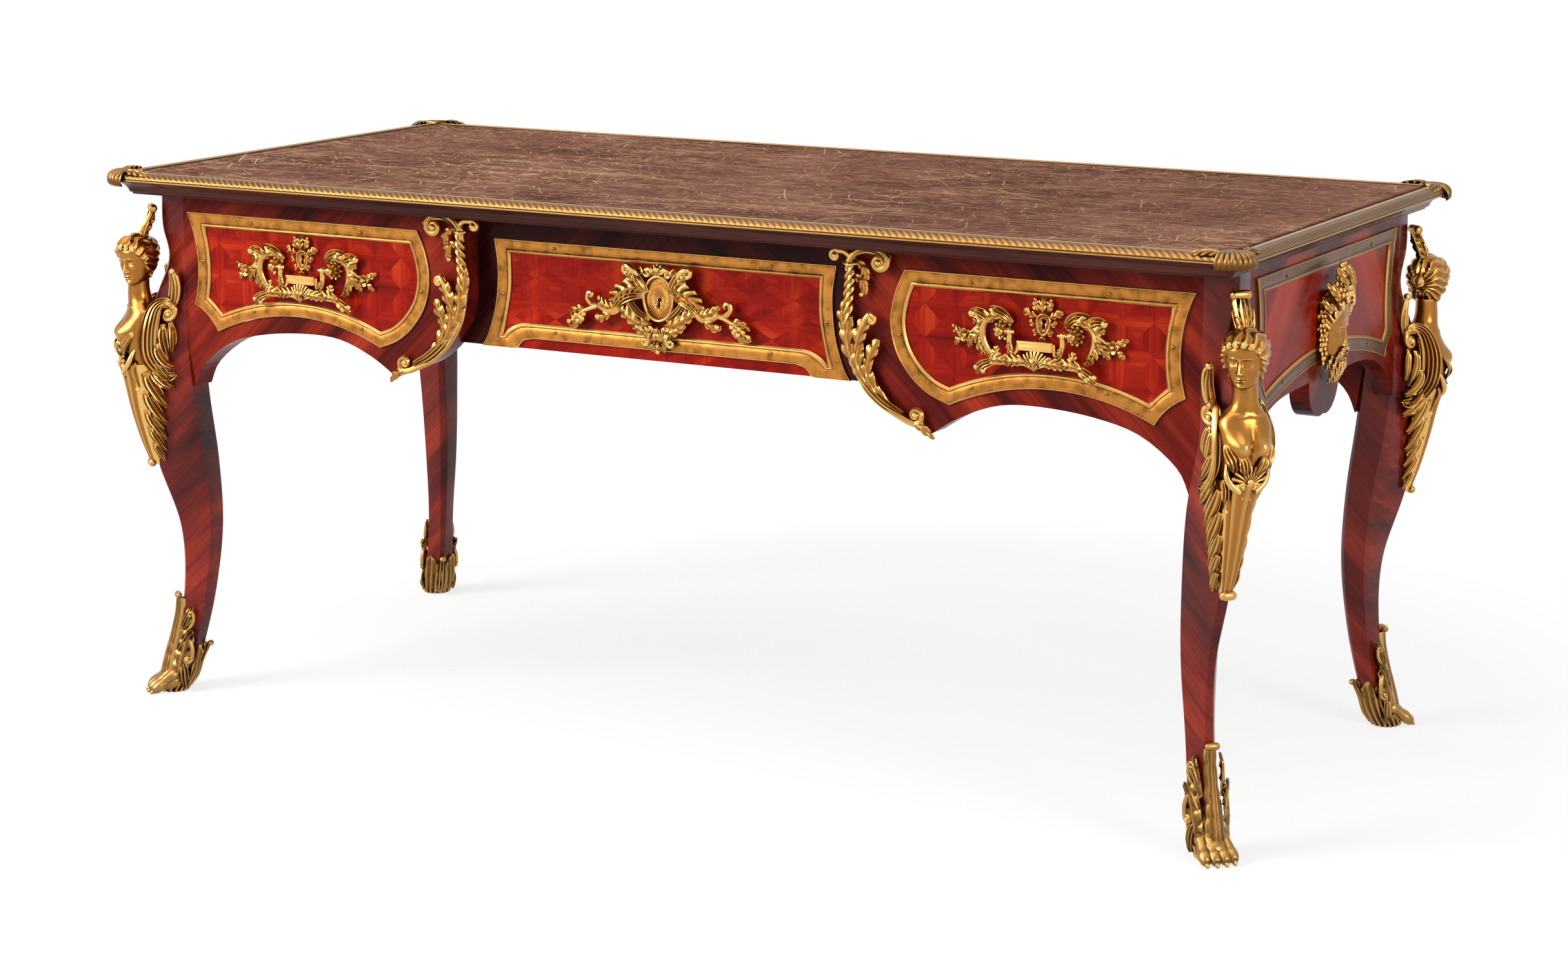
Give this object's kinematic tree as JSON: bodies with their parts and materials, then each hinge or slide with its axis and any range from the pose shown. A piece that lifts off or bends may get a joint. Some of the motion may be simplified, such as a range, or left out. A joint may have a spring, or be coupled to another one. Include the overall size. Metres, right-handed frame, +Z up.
{
  "type": "bureau plat",
  "caption": "Flat-topped writing table on cabriole legs, with shaped frieze drawers, a leather-lined top and gilt bronze mounts; drawers slide, drop handles swing and lock bolts rise.",
  "frame": {"origin": "on the floor, under the middle of the table", "axes": "+X to the right along the table's length, +Y to the back, +Z up; the drawers open towards -Y"},
  "size_m": [1.8014, 0.8544, 0.7895],
  "materials": {
    "kingwood": "french polished red-brown veneer",
    "parquetry": "french polished parquetry veneer",
    "dark_edge": "polished dark moulding",
    "oak": "plain waxed secondary wood",
    "leather": "worn brown leather, scuffed",
    "gilt_bronze": "chased and gilded, dark in the recesses",
    "steel": "filed lock metal"
  },
  "bodies": {
    "carcass": {"leg_front_left": "kingwood", "leg_front_right": "kingwood", "leg_back_left": "kingwood", "leg_back_right": "kingwood", "front_apron_left": "kingwood", "front_apron_right": "kingwood", "back_apron_left": "kingwood", "back_apron_right": "kingwood", "back_centre_panel": "kingwood", "centre_surround": "kingwood", "partition_left": "oak", "partition_right": "oak", "runner_left": "oak", "runner_right": "oak", "side_panel_left": "kingwood", "side_panel_right": "kingwood", "top_board": "dark_edge", "leather_lining": "leather", "edge_moulding": "gilt_bronze", "side_frame_left": "gilt_bronze", "side_frame_right": "gilt_bronze", "mask_left": "gilt_bronze", "mask_right": "gilt_bronze", "corner_figure_front_left": "gilt_bronze", "corner_figure_front_right": "gilt_bronze", "corner_figure_back_left": "gilt_bronze", "corner_figure_back_right": "gilt_bronze", "sabot_front_left": "gilt_bronze", "sabot_front_right": "gilt_bronze", "sabot_back_left": "gilt_bronze", "sabot_back_right": "gilt_bronze", "console_mount_left": "gilt_bronze", "console_mount_right": "gilt_bronze"},
    "drawer_left": {"drawer_left_front": "parquetry", "drawer_left_box": "oak", "drawer_left_bottom": "oak", "frame_left": "gilt_bronze", "escutcheon_left": "gilt_bronze", "handle_mount_left_inner": "gilt_bronze", "handle_mount_left_outer": "gilt_bronze", "lock_case_left": "steel"},
    "drawer_right": {"drawer_right_front": "parquetry", "drawer_right_box": "oak", "drawer_right_bottom": "oak", "frame_right": "gilt_bronze", "escutcheon_right": "gilt_bronze", "handle_mount_right_inner": "gilt_bronze", "handle_mount_right_outer": "gilt_bronze", "lock_case_right": "steel"},
    "drawer_centre": {"drawer_centre_front": "parquetry", "drawer_centre_box": "oak", "drawer_centre_bottom": "oak", "frame_centre": "gilt_bronze", "cartouche": "gilt_bronze", "lock_case_centre": "steel"},
    "bail_left": {"bail_left": "gilt_bronze"},
    "bail_right": {"bail_right": "gilt_bronze"},
    "lock_bolt_left": {"lock_bolt_left": "steel"},
    "lock_bolt_centre": {"lock_bolt_centre": "steel"},
    "lock_bolt_right": {"lock_bolt_right": "steel"}
  },
  "joints": [
    {"name": "drawer_left_slide", "type": "slide", "parent": "carcass", "child": "drawer_left", "axis": [0, -1, 0], "range_m": [0, 0.36]},
    {"name": "drawer_centre_slide", "type": "slide", "parent": "carcass", "child": "drawer_centre", "axis": [0, -1, 0], "range_m": [0, 0.36]},
    {"name": "drawer_right_slide", "type": "slide", "parent": "carcass", "child": "drawer_right", "axis": [0, -1, 0], "range_m": [0, 0.36]},
    {"name": "bail_left_hinge", "type": "hinge", "parent": "drawer_left", "child": "bail_left", "pos_m": [-0.5725, -0.356, 0.657], "axis": [-1, 0, 0], "range_deg": [0, 80]},
    {"name": "bail_right_hinge", "type": "hinge", "parent": "drawer_right", "child": "bail_right", "pos_m": [0.5725, -0.356, 0.657], "axis": [-1, 0, 0], "range_deg": [0, 80]},
    {"name": "lock_bolt_left_slide", "type": "slide", "parent": "drawer_left", "child": "lock_bolt_left", "axis": [0, 0, 1], "range_m": [0, 0.011]},
    {"name": "lock_bolt_centre_slide", "type": "slide", "parent": "drawer_centre", "child": "lock_bolt_centre", "axis": [0, 0, 1], "range_m": [0, 0.011]},
    {"name": "lock_bolt_right_slide", "type": "slide", "parent": "drawer_right", "child": "lock_bolt_right", "axis": [0, 0, 1], "range_m": [0, 0.011]}
  ]
}
